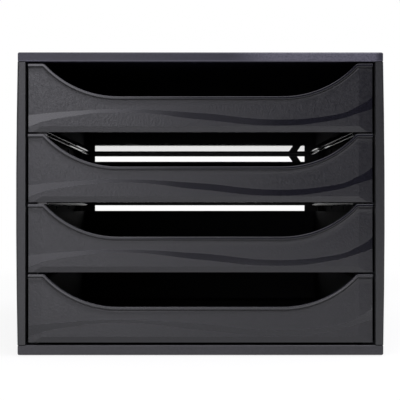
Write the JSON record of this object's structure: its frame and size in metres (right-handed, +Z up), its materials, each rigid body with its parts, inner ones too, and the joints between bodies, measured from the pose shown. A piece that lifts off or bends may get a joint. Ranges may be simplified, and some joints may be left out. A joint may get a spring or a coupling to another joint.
{
  "type": "desktop drawer cabinet",
  "caption": "Closed desktop cabinet with stacked sliding drawers for A4 papers; each low front has a wide finger scoop with a raised rim, and the back is a windowed frame.",
  "frame": {"origin": "centre of the overall box's base, on the plane the feet stand on", "axes": "+X to the right as seen from the front, +Y to the back, along the drawers' travel, +Z up"},
  "size_m": [0.284, 0.387, 0.234],
  "materials": {
    "housing_plastic": "fine-grained moulded polystyrene, near black",
    "drawer_plastic": "satin moulded polystyrene, near black",
    "foot_rubber": "plain matt rubber"
  },
  "bodies": {
    "housing": {"top_panel": "housing_plastic", "bottom_panel": "housing_plastic", "left_side_panel": "housing_plastic", "right_side_panel": "housing_plastic", "back_frame": "housing_plastic", "runner_left_1": "housing_plastic", "runner_left_2": "housing_plastic", "runner_left_3": "housing_plastic", "runner_left_4": "housing_plastic", "runner_right_1": "housing_plastic", "runner_right_2": "housing_plastic", "runner_right_3": "housing_plastic", "runner_right_4": "housing_plastic", "foot_front_left": "foot_rubber", "foot_front_right": "foot_rubber", "foot_rear_left": "foot_rubber", "foot_rear_right": "foot_rubber"},
    "drawer_1": {"drawer_1": "drawer_plastic"},
    "drawer_2": {"drawer_2": "drawer_plastic"},
    "drawer_3": {"drawer_3": "drawer_plastic"},
    "drawer_4": {"drawer_4": "drawer_plastic"}
  },
  "joints": [
    {"name": "drawer_1_slide", "type": "slide", "parent": "housing", "child": "drawer_1", "axis": [0, -1, 0], "range_m": [0, 0.295]},
    {"name": "drawer_2_slide", "type": "slide", "parent": "housing", "child": "drawer_2", "axis": [0, -1, 0], "range_m": [0, 0.295]},
    {"name": "drawer_3_slide", "type": "slide", "parent": "housing", "child": "drawer_3", "axis": [0, -1, 0], "range_m": [0, 0.295]},
    {"name": "drawer_4_slide", "type": "slide", "parent": "housing", "child": "drawer_4", "axis": [0, -1, 0], "range_m": [0, 0.295]}
  ]
}
